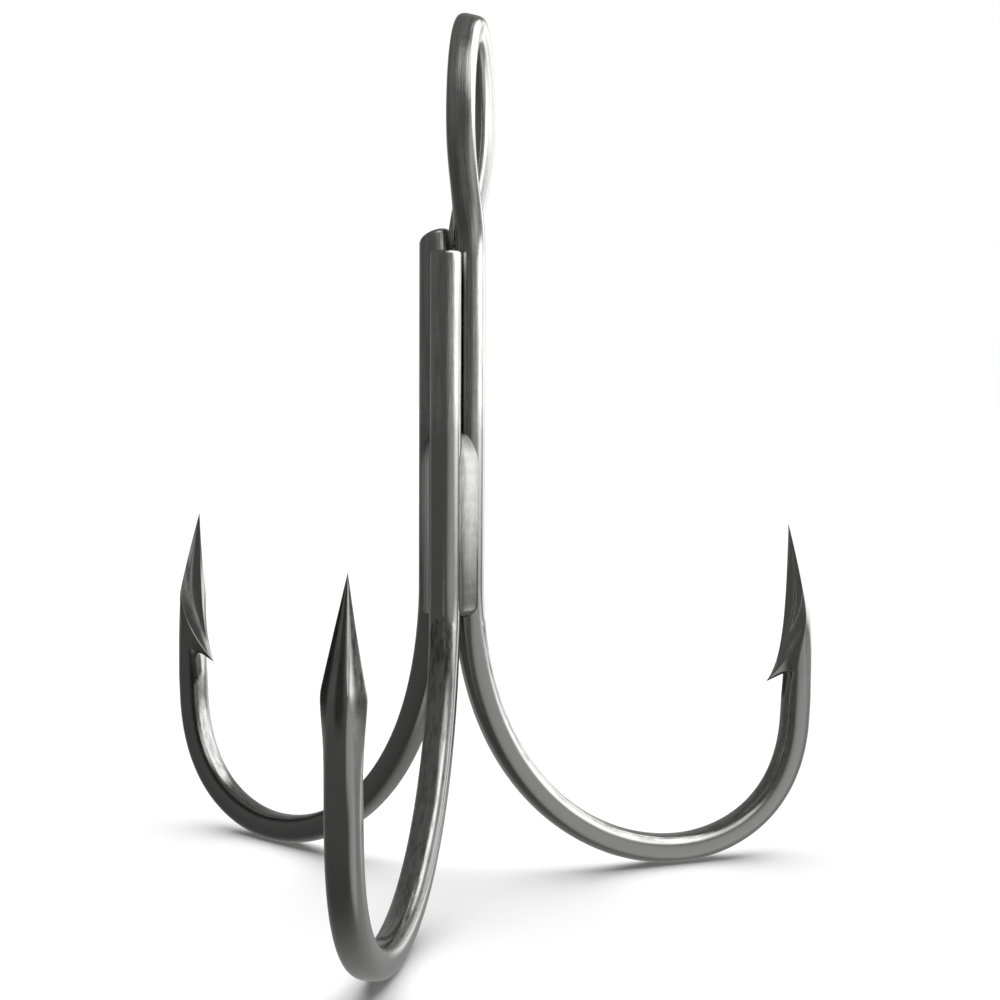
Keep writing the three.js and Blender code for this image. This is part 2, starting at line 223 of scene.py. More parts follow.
def mesh_of(name, rings, grain, finish_and_shade=None, start=None, end=None, degrees=0.0, sharp=32.0):
    """A closed piece through rings of points, in the frame, with two attributes for its material.

    Grain is a triple for each point: its place in the section and its distance along the wire.
    Finish and shade is a triple for each point: how far it is forged, ground, and cropped; the first two
    also carry painted shade.
    """
    count = rings.shape[1]
    start = rings[0].mean(0) if start is None else start
    end = rings[-1].mean(0) if end is None else end
    points = np.concatenate([[start], rings.reshape(-1, 3), [end]])
    x, y = turned(points[:, 0], points[:, 1], degrees)
    placed = np.stack([x, y + AXIS_Y, points[:, 2]], axis=1) * MM
    side = np.arange(count)
    after = (side + 1) % count
    faces = [(0, 1 + a, 1 + b) for a, b in zip(side, after)]
    for ring in range(len(rings) - 1):
        low, high = 1 + ring * count, 1 + (ring + 1) * count
        faces += [(low + a, high + a, high + b, low + b) for a, b in zip(side, after)]
    last = len(points) - 1
    top = last - count
    faces += [(last, top + b, top + a) for a, b in zip(side, after)]
    mesh = bpy.data.meshes.new(name)
    mesh.from_pydata(placed.tolist(), [], [tuple(int(i) for i in face) for face in faces])
    for title, values in (("grain", grain), ("finish_and_shade", finish_and_shade)):
        if values is not None:
            padded = np.concatenate([[values[0].mean(0)], values.reshape(-1, 3), [values[-1].mean(0)]])
            attribute = mesh.attributes.new(title, "FLOAT_VECTOR", "POINT")
            attribute.data.foreach_set("vector", padded.astype(np.float32).ravel())
    mesh.shade_smooth()
    mesh.set_sharp_from_angle(angle=math.radians(sharp))
    piece = bpy.data.objects.new(name, mesh)
    bpy.context.scene.collection.objects.link(piece)
    return piece


# ---- The wire from the shank round the bend ----------------------------------------------------

ACROSS = np.array([0.0, 1.0, 0.0])
UP = np.array([0.0, 0.0, 1.0])

# Handles of the two curves of the bend, as in the CAD.
SHANK_HANDLE_HEIGHT = 10.9
SHANK_SIDE_HANDLE_REACH, POINT_SIDE_HANDLE_REACH = 13.98, 29.4
LIMB_HANDLE = (37.75, 3.7)
SHANK_STEPS, SHANK_SIDE_STEPS, POINT_SIDE_STEPS, LIMB_STEPS = 40, 90, 60, 7
CROWDING_RUN = 12         # length over which the rings' points close up below the barb

INNER_FACE_FROM, INNER_FACE_FADE = 0.55, 0.6
# Painted shade: a dark line along one edge of the hammered inner face, wider under the barb.
PAINTED_EDGE_NARROW, PAINTED_EDGE_WIDE, PAINTED_EDGE_END, PAINTED_EDGE_FADE = 0.84, -0.2, 1.38, 0.2
PAINTED_EDGE_RUN_IN = 6
PAINTED_EDGE_WIDENS_FROM, PAINTED_EDGE_WIDENS_OVER = 0.4, 1.6
HAMMER_MARK_BOW = 0.6     # how far the hammered face's beginning curves round the wire
HAMMER_MARK_FADE = 0.5
FIRST_BLOW, FIRST_BLOW_EXTRA, FIRST_BLOW_RUN = 1.7, 0.7, 9


def inner_face(flat):
    """How far points of a section lie on the hammered inner face of the bend."""
    return smoothstep((flat[:, 0] - INNER_FACE_FROM) / INNER_FACE_FADE)


def painted_edge_shade(flat, widening=0.0):
    """Painted shade and a painted dark reflection along one edge of the inner face, wider at the barb."""
    across = flat[:, 1]
    start = mix(PAINTED_EDGE_NARROW, PAINTED_EDGE_WIDE, widening)
    near, far = smoothstep((across - start) / PAINTED_EDGE_FADE), smoothstep((PAINTED_EDGE_END - across) / PAINTED_EDGE_FADE)
    return inner_face(flat) * near * far


def wire_rings(shank_from):
    """Rings from the height shank_from down the shank, round the bend and up the point's limb."""
    top = in_plane(SHANK_OFFSET, BEND_TOP)
    bottom = in_plane(BEND_BOTTOM_REACH, FORGED_HALF_DEPTH)
    foot = in_plane(POINT_LIMB_REACH, POINT_LIMB_FOOT)
    rise = POINT_LIMB_TOP - POINT_LIMB_FOOT
    limb_top = in_plane(POINT_LIMB_REACH + POINT_LIMB_LEAN * rise, POINT_LIMB_TOP)
    before_bottom = in_plane(SHANK_SIDE_HANDLE_REACH, FORGED_HALF_DEPTH)
    after_bottom = in_plane(POINT_SIDE_HANDLE_REACH, FORGED_HALF_DEPTH)
    shank_side = [top, in_plane(SHANK_OFFSET, SHANK_HANDLE_HEIGHT), before_bottom, bottom]
    point_side = [bottom, after_bottom, in_plane(*LIMB_HANDLE), foot]
    places = np.concatenate([
        np.linspace(in_plane(SHANK_OFFSET, shank_from), top, SHANK_STEPS)[:-1],
        evenly([shank_side], SHANK_SIDE_STEPS),
        evenly([point_side], POINT_SIDE_STEPS)[1:],
        np.linspace(foot, limb_top, LIMB_STEPS)[1:],
    ])
    run = np.concatenate([[0], np.cumsum(np.linalg.norm(np.diff(places, axis=0), axis=1))])
    forging = smoothstep((run - (shank_from - BEND_TOP)) / FORGING_RUN)
    crowding = smoothstep((run - run[-1] + CROWDING_RUN) / CROWDING_RUN)
    rings, grain, finish_and_shade = [], [], []
    for place, direction, forged, close, at in zip(places, directions_of(places), forging, crowding, run):
        inward = in_plane(-direction[2], direction[0])
        ring, flat = station(place, inward, ACROSS, forged, close)
        rings.append(ring)
        grain.append(np.column_stack([flat, np.full(RING, BEND_TOP - shank_from + at)]))
        run_in = at - (shank_from - BEND_TOP) - FORGED_FROM - HAMMER_MARK_BOW * flat[:, 1] ** 2
        # The hammered share darkens the inner face as mottled scale that is partly painted shade, most just
        # after forging begins.
        blow = FIRST_BLOW - FIRST_BLOW_EXTRA * smoothstep(run_in / FIRST_BLOW_RUN)
        hammered = inner_face(flat) * smoothstep(run_in / HAMMER_MARK_FADE) * blow
        widening = 1 - smoothstep((run[-1] - at + PAINTED_EDGE_WIDENS_FROM) / PAINTED_EDGE_WIDENS_OVER)
        # Painted shade along the inner face's edge.
        edge_shade = painted_edge_shade(flat, widening) * smoothstep(run_in / PAINTED_EDGE_RUN_IN)
        finish_and_shade.append(np.column_stack([hammered, edge_shade, np.zeros(RING)]))
    return rings, grain, finish_and_shade


# ---- The ground point and its barb -------------------------------------------------------------

BARB_ROOT = np.array([
    [37.35, 0, 19.0], [37.35, 0.6, 19.05], [37.42, 1.05, 19.2], [37.7, 1.34, 19.5], [38.5, 1.46, 20.0],
    [38.95, 1.45, 20.1], [39.62, 1.14, 20.2], [39.95, 0.55, 20.3], [40.0, 0, 20.3],
])
LAND_ROUNDING = 0.3
LAND_ROUNDING_SHARE = 0.8     # at most this share of the land's half width is rounded
CORNER_ROUNDING = 0.1
LAND_DIP, LAND_DIP_OVER = 0.75, 0.25
ROOT_SMOOTHINGS, SHOULDER_SMOOTHINGS, SHOULDER_SMOOTHING = 6, 14, 0.6
RIDGE_HANDLES = in_plane(36.8, 20.2), in_plane(37.1, 25.5)
CORNER_HANDLE = np.array([38.25, 1.15, 28.9])
LAND_HANDLE = np.array([38.9, 0.36, 28.5])
SWEEP_HANDLES = [36.3, 0.45, 19.5], [38.1, 1.45, 21.9]
SWEEP_OVER = 0.3          # part of the point over which the barb's swept edge straightens out
ROOT_STEPS, SHOULDER_STEPS, LOW_STEPS, HIGH_STEPS = 7, 15, 13, 34
LOW_PART, LAST_PART = 0.2, 0.97
LEAVING, ARRIVING, ARRIVING_PART = 1.3, 2.2, 0.1
OUTER_SHARE, OUTER_FADE = 0.62, 0.12


def rounded(half, at, distance):
    """Rounds the corner at index at of a half ring, as far as distance to either side."""
    corner = half[at].copy()
    shaped = half.copy()
    for side in (-1, 1):
        stop = -1 if side < 0 else len(half)
        for index in range(at, stop, side):
            away = np.linalg.norm(half[index] - corner)
            if away >= distance:
                break
            t = 0.5 + side * 0.5 * away / distance
            before = corner + (half[at - 1] - corner) / np.linalg.norm(half[at - 1] - corner) * distance
            after = corner + (half[at + 1] - corner) / np.linalg.norm(half[at + 1] - corner) * distance
            shaped[index] = bezier([before, corner, after], t)[0]
    return shaped


def root_ring():
    """The ring at the foot of the barb, a little recessed below it."""
    shares = half_shares(1.0) * (len(BARB_ROOT) - 1)
    known = np.arange(len(BARB_ROOT))
    half = np.stack([np.interp(shares, known, BARB_ROOT[:, axis]) for axis in range(3)], axis=1)
    smooth = half.copy()
    for _ in range(ROOT_SMOOTHINGS):
        smooth[1:-1] = (smooth[:-2] + smooth[1:-1] * 2 + smooth[2:]) / 4
    return full_ring(smooth)


def point_ring(part):
    """A ring of the five-sided point, at a part of the way from the barb's edge to the tip."""
    ridge = bezier([BARB_TIP, *RIDGE_HANDLES, POINT_TIP], part)[0]
    corner = bezier([SHOULDER, CORNER_HANDLE, POINT_TIP], part)[0]
    land = bezier([BACK_SHOULDER, LAND_HANDLE, POINT_TIP], part)[0]
    across = crowded(FACET_STEPS)[:, None]
    facet = mix(ridge, corner, across)
    depth = HOLLOW_GRIND * math.sin(math.pi * part) ** HOLLOW_FULLNESS
    facet[:, 0] += depth * np.sin(np.pi * across[:, 0])
    edge = bezier([BARB_TIP, *SWEEP_HANDLES, SHOULDER], across[:, 0])
    facet += (edge - mix(BARB_TIP, SHOULDER, across)) * max(0.0, 1 - part / SWEEP_OVER) ** 2
    back = mix(corner, land, crowded(BACK_STEPS)[1:, None])
    middle = in_plane(land[0], land[2] - LAND_DIP * max(0.0, 1 - part / LAND_DIP_OVER) ** 2)
    toward = np.linspace(0, 1, LAND_STEPS + 1)[1:, None]
    top = mix(land, middle, toward)
    top[:, 2] = mix(land[2], middle[2], np.sin(toward[:, 0] * np.pi / 2))
    half = np.concatenate([facet, back, top])
    land_rounding = min(LAND_ROUNDING, LAND_ROUNDING_SHARE * land[1])
    half = rounded(half, FACET_STEPS + BACK_STEPS, land_rounding)
    half = rounded(half, FACET_STEPS, CORNER_ROUNDING * (1 - part))
    return full_ring(half)


def point_rings(limb_top_ring):
    """Rings from above the limb's top, past the barb, to just below the tip."""
    root = root_ring()
    first = point_ring(0.0)
    share = np.abs(np.arange(RING) - HALF_STEPS) / HALF_STEPS
    outer = smoothstep((OUTER_SHARE - share) / OUTER_FADE)[:, None]
    rings = []
    for step in np.linspace(0, 1, ROOT_STEPS)[1:]:
        rings.append(mix(limb_top_ring, root, step))
    leaving = (root - limb_top_ring) * LEAVING
    arriving = (point_ring(ARRIVING_PART) - first) * ARRIVING
    for t in np.linspace(0, 1, SHOULDER_STEPS)[1:]:
        straight = mix(root, first, t)
        curve = root * (1 - t) ** 3 + first * t ** 3
        curve += 3 * t * (1 - t) * ((root + leaving / 3) * (1 - t) + (first - arriving / 3) * t)
        rings.append(mix(straight, curve, outer))
    low_parts = np.linspace(0, LOW_PART, LOW_STEPS)[1:]
    high_parts = np.linspace(LOW_PART, LAST_PART, HIGH_STEPS)[1:]
    for part in np.concatenate([low_parts, high_parts]):
        rings.append(point_ring(part))
    # The shoulders are rounded: each ring moves towards its neighbours, on the outer side only.
    soft = np.array(rings)
    for _ in range(SHOULDER_SMOOTHINGS):
        soft[1:-1] = mix(soft[1:-1], (soft[:-2] + soft[2:]) / 2, SHOULDER_SMOOTHING * outer)
    return list(soft)


# The ground mask in steps round a ring, and its fades in rings up the point.
EDGE_CLEARANCE, EDGE_FADE, LAND_CLEARANCE, LAND_FADE = 1, 3, 5, 4
LAND_GROUND = 0.8
FORGED_FADE_RINGS, GROUND_FROM_RING, GROUND_FADE_RINGS = 6, 9, 9
PAINTED_EDGE_LAST_RING, PAINTED_EDGE_FADE_RINGS = 6, 2


def ground_share():
    """How far the places round a ring lie on the ground back facets and land, clear of their edges."""
    index = np.arange(HALF_STEPS + 1)
    land_edge = FACET_STEPS + BACK_STEPS
    facet = smoothstep((index - FACET_STEPS - EDGE_CLEARANCE) / EDGE_FADE)
    facet = facet * smoothstep((land_edge - LAND_CLEARANCE - index) / LAND_FADE)
    land = smoothstep((index - land_edge - EDGE_CLEARANCE) / EDGE_FADE)
    half = facet + LAND_GROUND * land
    return np.concatenate([half, half[1:-1][::-1]])


def hook_with(name, head, shank_from, degrees, start, grinding):
    """A hook from its head's rings, the wire from the height shank_from, and the point."""
    wire, wire_grain, wire_finish_and_shade = wire_rings(shank_from)
    point = point_rings(wire[-1])
    along = wire_grain[-1][0, 2]
    tip_grain, tip_finish_and_shade = [], []
    for step, ring in enumerate(point):
        middle = ring.mean(0)
        flat = np.column_stack([middle[0] - ring[:, 0], ring[:, 1]])
        rise = ring[:, 2] - POINT_LIMB_TOP
        tip_grain.append(np.column_stack([flat, along + rise]))
        forged = inner_face(flat) * smoothstep(1 - step / FORGED_FADE_RINGS)
        ground = ground_share() * grinding * smoothstep((step - GROUND_FROM_RING) / GROUND_FADE_RINGS)
        # The painted dark edge runs on under the barb as painted shade, carried in the ground share.
        ground += painted_edge_shade(flat, 1.0) * smoothstep((PAINTED_EDGE_LAST_RING - step) / PAINTED_EDGE_FADE_RINGS)
        tip_finish_and_shade.append(np.column_stack([forged, ground, np.zeros(RING)]))
    head_rings, head_grain, head_finish = head
    rings = np.array(head_rings + wire + point)
    grain = np.array(head_grain + wire_grain + tip_grain)
    finish_and_shade = np.array(head_finish + wire_finish_and_shade + tip_finish_and_shade)
    return mesh_of(name, rings, grain, finish_and_shade, start, POINT_TIP, degrees)


# ---- Plain hooks -------------------------------------------------------------------------------


END_STEPS, RIM_STEPS = 14, 8
END_MIDDLE_SHARE = 0.96   # the first ring of a cut is this far in from its rim, as a share of the radius
WAVE_FADE = 0.3           # the cut's unevenness fades out over this distance from the rim
WIRE_BELOW_END = 0.8      # the plain wire starts this far below the chamfered rim
FULLY_GROUND, BARELY_GROUND = 1.0, 0.15


def cut_waves(flat):
    """The unevenness of a cropped end, at places in its section."""
    wave = np.sin(flat[:, 0] * 5.1 + 1.3) * np.sin(flat[:, 1] * 4.3 + 0.4)
    return wave + 0.6 * np.sin(flat[:, 0] * 9.7 - flat[:, 1] * 7.9)


def shank_end(end, roughness):
    """Rings over the cropped end of a shank: the cut, from its middle outwards, and then its rim."""
    rings, grain, finish_and_shade = [], [], []
    rim = end["rim"]

    def add(height, shrink):
        ring, flat = station(in_plane(SHANK_OFFSET, height), in_plane(1, 0), ACROSS, shrink=shrink)
        ring[:, 2] -= end["slope"] * (ring[:, 0] - SHANK_OFFSET)
        if shrink > rim:
            ring[:, 2] += roughness * cut_waves(flat) * min(1.0, (shrink - rim) / WAVE_FADE)
        rings.append(ring)
        grain.append(np.column_stack([flat, np.full(RING, BEND_TOP - height)]))
        cropped = np.full(RING, min(1.0, shrink / rim))
        finish_and_shade.append(np.column_stack([np.zeros(RING), np.zeros(RING), cropped]))

    for shrink in np.linspace(WIRE_RADIUS * END_MIDDLE_SHARE, rim, END_STEPS):
        add(end["height"], shrink)
    for turn in np.linspace(0, np.pi / 2, RIM_STEPS)[1:]:
        add(end["height"] - rim * (1 - math.cos(turn)), rim * (1 - math.sin(turn)))
    return rings, grain, finish_and_shade


def plain_hook(name, end, degrees, roughness):
    head = shank_end(end, roughness)
    start = head[0][0].mean(0)
    shank_from = end["height"] - end["rim"] - WIRE_BELOW_END
    return hook_with(name, head, shank_from, degrees, start, FULLY_GROUND)


# ---- The eyed hook -----------------------------------------------------------------------------


EYE_ROUNDNESS = 0.5523    # handles of this length make the crown's quarter turns round
EYE_SLACKNESS = 0.45
EYE_STEPS, TAIL_STEPS = 170, 22
TAIL_BELOW_FOOT = 3       # the loop runs on into the tail this far below the eye's foot
PRESSED_FROM, PRESSED_OVER = 2, 6
TAIL_END_SHRINKS = (0.7, 1.1, 1.4)
TAIL_END_GRAIN = 1
WIRE_BELOW_EYE = 0.5


def eye_place(along, across, height):
    """A place near the eye: along its plane and across it from the shank's centre line, at a height."""
    x, y = turned(across, along, EYE_TURN - 90)
    return np.array([x + SHANK_OFFSET, y, height])


def tail_place(height):
    """The tail lies in the groove behind its own shank and the left one, touching neither."""
    reach = 2 * WIRE_RADIUS + TAIL_CLEARANCE
    half_span = SHANK_OFFSET * math.cos(math.radians(RIGHT_ANGLE))
    return eye_place(math.sqrt(reach ** 2 - half_span ** 2), -half_span, height)


def eye_curve():
    """The wire's four curves: up to the widest place, over the crown in two, and down into the tail."""
    low = (EYE_WIDEST - EYE_FOOT) * EYE_SLACKNESS
    high = (EYE_TOP - EYE_WIDEST) * EYE_ROUNDNESS
    side = EYE_HALF_WIDTH * EYE_ROUNDNESS

    def loop(sign, height):
        return eye_place(EYE_LEAN + sign * EYE_HALF_WIDTH, sign * EYE_TWIST * EYE_HALF_WIDTH, height)

    def crown(along):
        return eye_place(EYE_LEAN + along, EYE_TWIST * along, EYE_TOP)

    tail_top = EYE_FOOT - TAIL_BELOW_FOOT
    leaving = [eye_place(0, 0, EYE_FOOT), eye_place(0, 0, EYE_FOOT + low)]
    arriving = [tail_place(EYE_FOOT + low - TAIL_BELOW_FOOT), tail_place(tail_top)]
    return [
        [*leaving, loop(-1, EYE_WIDEST - low), loop(-1, EYE_WIDEST)],
        [loop(-1, EYE_WIDEST), loop(-1, EYE_WIDEST + high), crown(-side), crown(0)],
        [crown(0), crown(side), loop(1, EYE_WIDEST + high), loop(1, EYE_WIDEST)],
        [loop(1, EYE_WIDEST), loop(1, EYE_WIDEST - low), *arriving],
    ]


def eye_section(flattening):
    """The wire's section where it was pressed flat across the eye's plane and square to it."""
    angle = 2 * np.pi * np.arange(RING) / RING
    rolled = angle - math.radians(EYE_TURN + EYE_ROLL)
    power = mix(2.0, EYE_SQUARENESS, flattening)
    reach = (np.abs(np.cos(rolled)) ** power + np.abs(np.sin(rolled)) ** power) ** (-1 / power)
    radius = mix(WIRE_RADIUS, EYE_HALF_THICKNESS, flattening)
    return radius * np.stack([reach * np.cos(angle), reach * np.sin(angle)], axis=1)


def eye_rings():
    """Rings from the tail's end up, round the eye and down to the shank, with the section untwisted."""
    places = evenly(eye_curve(), EYE_STEPS)
    tail_top, tail_foot = tail_place(EYE_FOOT - TAIL_BELOW_FOOT), tail_place(TAIL_END + TAIL_RIM)
    tail = np.linspace(tail_top, tail_foot, TAIL_STEPS)[1:]
    places = np.concatenate([places, tail])
    directions = directions_of(places)
    directions[0] = UP
    inward, sideways = in_plane(1, 0), ACROSS.copy()
    rings, grain = [], []
    run = 0.0
    for step, place in enumerate(places):
        if step:
            turn = Vector(directions[step - 1]).rotation_difference(Vector(directions[step]))
            inward = np.array(turn @ Vector(inward))
            sideways = np.array(turn @ Vector(sideways))
            run += float(np.linalg.norm(place - places[step - 1]))
        flat = eye_section(smoothstep((place[2] - EYE_FOOT - PRESSED_FROM) / PRESSED_OVER))
        rings.append(place + flat[:, :1] * inward + flat[:, 1:] * sideways)
        grain.append(np.column_stack([flat, np.full(RING, BEND_TOP - EYE_FOOT - run)]))
    turns = np.linspace(0, np.pi / 2, RIM_STEPS)[1:]
    rim = [(TAIL_END + TAIL_RIM * (1 - math.sin(turn)), TAIL_RIM * (1 - math.cos(turn))) for turn in turns]
    for height, shrink in rim + [(TAIL_END, shrink) for shrink in TAIL_END_SHRINKS]:
        ring, flat = station(tail_place(height), inward, sideways, shrink=shrink)
        rings.append(ring)
        grain.append(np.column_stack([flat, np.full(RING, BEND_TOP - EYE_FOOT - run - TAIL_END_GRAIN)]))
    finish_and_shade = [np.zeros((RING, 3)) for _ in rings]
    return rings[::-1], grain[::-1], finish_and_shade


def eyed_hook(name):
    head = eye_rings()
    start = head[0][0].mean(0)
    return hook_with(name, head, EYE_FOOT - WIRE_BELOW_EYE, RIGHT_ANGLE, start, BARELY_GROUND)


# ---- Braze filler ------------------------------------------------------------------------------


HEAD_LENGTH = 2.8         # a seam's head tapers over this many of its half widths
HEAD_FULLNESS = 1.8
SEAM_LEVELS, FACE_STEPS, FLANK_STEPS = 91, 33, 14
FLANK_LEAST = 0.02        # radians that each flank spans at least
FOOT_REACH = 2
FOOT_FULLNESS = 5
FACE_HOLLOW = 0.5
SEAM_SHARP = 50.0


def uneven(level):
    """The slight unevenness of a seam's width, at a height."""
    return 1 + 0.012 * math.sin(level * 2.3) + 0.01 * math.sin(level * 5.1 + 1)


def seam_width(height, half_width, bottom, top):
    """The fillet's half width at a height: a round foot where the wires part, a longer head."""
    foot = np.clip((height - bottom) / half_width, 0, 1)
    head = np.clip((top - height) / (HEAD_LENGTH * half_width), 0, 1)
    return half_width * np.sqrt(1 - (1 - foot) ** 2) * (1 - (1 - head) ** HEAD_FULLNESS)


def seam(name, depth, half_span, inner_point, bottom, top, facing, centre=(0.0, 0.0)):
    """A fillet between two wires, whose centres lie at depth and half_span to either side of its middle."""
    radius = WIRE_RADIUS + BRAZE_CLEARANCE
    contact_angle = math.radians(BRAZE_CONTACT)
    widest = half_span - radius * math.sin(contact_angle)
    brim = depth + radius * math.cos(contact_angle)
    cusp = math.acos(min(half_span / radius, 1))
    inner = np.pi / 2 - cusp if inner_point is None else np.pi - math.atan2(half_span, depth)
    levels = mix(bottom, top, 0.5 - 0.5 * np.cos(np.pi * np.linspace(0, 1, SEAM_LEVELS)))[1:-1]
    side = np.linspace(-1, 1, FACE_STEPS)
    rings = []
    for level in levels:
        width = min(widest, seam_width(level, widest, bottom, top) * uneven(level))
        width = max(SEAM_NARROWEST, width)
        contact = math.asin(min((half_span - width) / radius, 1.0))
        edge = depth + radius * math.cos(contact)
        hollow = FILLET_HOLLOW * width * math.tan(min(contact, contact_angle))
        # The filler has run down to a rounded drop at its foot, which stands proud of the groove.
        proud = 0.0
        if level < bottom + FOOT_REACH:
            drop = 1 - min(1.0, (level - bottom) / FOOT_ROUNDING)
            proud = max(0.0, brim - FOOT_ROUNDING * (1 - math.sqrt(1 - drop ** 2)) - edge)
        across = edge + proud * (1 - np.abs(side) ** FOOT_FULLNESS) - FACE_HOLLOW * hollow * (1 - side ** 2)
        face = np.column_stack([across, side * width])
        turn = np.linspace(contact, max(inner, contact + FLANK_LEAST), FLANK_STEPS)[1:]
        flank = np.column_stack([depth + radius * np.cos(turn), half_span - radius * np.sin(turn)])
        middle = [] if inner_point is None else [[inner_point, 0.0]]
        outline = np.concatenate([face, flank, np.array(middle).reshape(-1, 2), flank[::-1] * [1, -1]])
        rings.append(np.column_stack([outline, np.full(len(outline), level)]))
    rings = np.array(rings)[::-1]
    # The painted shade goes by the distance from the seam's top, so a short seam is shaded like a long one.
    grain = rings + [0, 0, BRAZE_TOP - top]
    x, y = turned(rings[..., 0], rings[..., 1], facing)
    placed = np.stack([x + centre[0], y + centre[1], rings[..., 2]], axis=-1)
    return mesh_of(name, placed, grain, sharp=SEAM_SHARP)


def shank_seam(name, facing):
    depth = SHANK_OFFSET * math.cos(math.pi / 3)
    half_span = SHANK_OFFSET * math.sin(math.pi / 3)
    return seam(name, depth, half_span, BRAZE_CLEARANCE, BRAZE_BOTTOM, BRAZE_TOP, facing)


def tail_seam(name, shank_angle, outward_turn):
    """Each tail fillet faces away from the groove, square to the line from the tail to its shank."""
    shank = np.array(turned(SHANK_OFFSET, 0, shank_angle))
    tail_x, tail_y, _ = tail_place(0)
    tail = np.array(turned(tail_x, tail_y, RIGHT_ANGLE))
    line = tail - shank
    facing = math.degrees(math.atan2(line[1], line[0])) + outward_turn
    half_span = WIRE_RADIUS + TAIL_CLEARANCE / 2
    centre = (shank + tail) / 2
    return seam(name, 0.0, half_span, None, TAIL_BRAZE_BOTTOM, TAIL_BRAZE_TOP, facing, centre)


# ---- Materials ---------------------------------------------------------------------------------


class Nodes:
    """A short way of writing a tree of shader nodes."""

    def __init__(self, tree):
        self.tree = tree
        tree.nodes.clear()

    def add(self, kind, inputs=None, **settings):
        node = self.tree.nodes.new("ShaderNode" + kind)
        for key, value in settings.items():
            setattr(node, key, value)
        for key, value in (inputs or {}).items():
            if isinstance(value, bpy.types.NodeSocket):
                self.tree.links.new(value, node.inputs[key])
            else:
                node.inputs[key].default_value = value
        return node

    def math(self, operation, a, b):
        return self.add("Math", {0: a, 1: b}, operation=operation).outputs[0]

    def times(self, a, b):
        return self.math("MULTIPLY", a, b)

    def plus(self, a, b):
        return self.math("ADD", a, b)

    def most(self, first, *others):
        for other in others:
            first = self.math("MAXIMUM", first, other)
        return first

    def noise(self, vector, scale, detail=3.0, roughness=0.5):
        inputs = {"Vector": vector, "Scale": scale, "Detail": detail, "Roughness": roughness}
        return self.add("TexNoise", inputs, noise_dimensions="3D").outputs[0]

    def band(self, value, low, high, new_low=0.0, new_high=1.0):
        inputs = {"Value": value, "From Min": low, "From Max": high, "To Min": new_low, "To Max": new_high}
        return self.add("MapRange", inputs, interpolation_type="SMOOTHSTEP").outputs["Result"]

    def blend(self, share, first, second):
        return self.add("Mix", {0: share, 6: first, 7: second}, data_type="RGBA").outputs[2]

    def attribute(self, name):
        return self.add("Attribute", attribute_name=name, attribute_type="GEOMETRY").outputs["Vector"]

    def parts(self, vector):
        return self.add("SeparateXYZ", {0: vector}).outputs

    def stretched(self, grain, along):
        """Grain squeezed along the wire, so that a noise over it runs out lengthwise."""
        return self.add("VectorMath", {0: grain, 1: (1.0, 1.0, along)}, operation="MULTIPLY").outputs[0]

    def bump(self, strength, distance, height):
        return self.add("Bump", {"Strength": strength, "Distance": distance, "Height": height}).outputs[0]

    def metal(self, colour, roughness, bump):
        shader = self.add("BsdfPrincipled", {
            "Base Color": colour, "Metallic": 1.0, "Roughness": roughness, "Normal": bump,
        })
        self.add("OutputMaterial", {"Surface": shader.outputs[0]})


def new_material(name):
    material = bpy.data.materials.new(name)
    material.use_nodes = True
    return material, Nodes(material.node_tree)


def grey(value):
    return (value, value, value * 0.985, 1.0)


# Places on the shanks. Heights are in metres, and depths in mm, negative towards the treble's axis.
DRAWN_FROM = (0.0425, 0.047)
GROOVE_SHADE_DEPTH = (-0.5, -1.0)
GROOVE_SHADE_FOOT, GROOVE_SHADE_HEAD = (0.027, 0.03), (0.058, 0.062)
SCALE_AND_SHADE_TONE, DRAWN_MARK_TONE, BRAZE_SHADE_TONE = 0.02, 0.12, 0.06
FINE_STREAKS = 0.7        # the fine streaks' share of the broad ones
PIT_DEPTH, CROP_PITS = 0.25, 12.0
FRESH_ROUGHNESS = 0.12    # how much rougher ground and cropped metal is


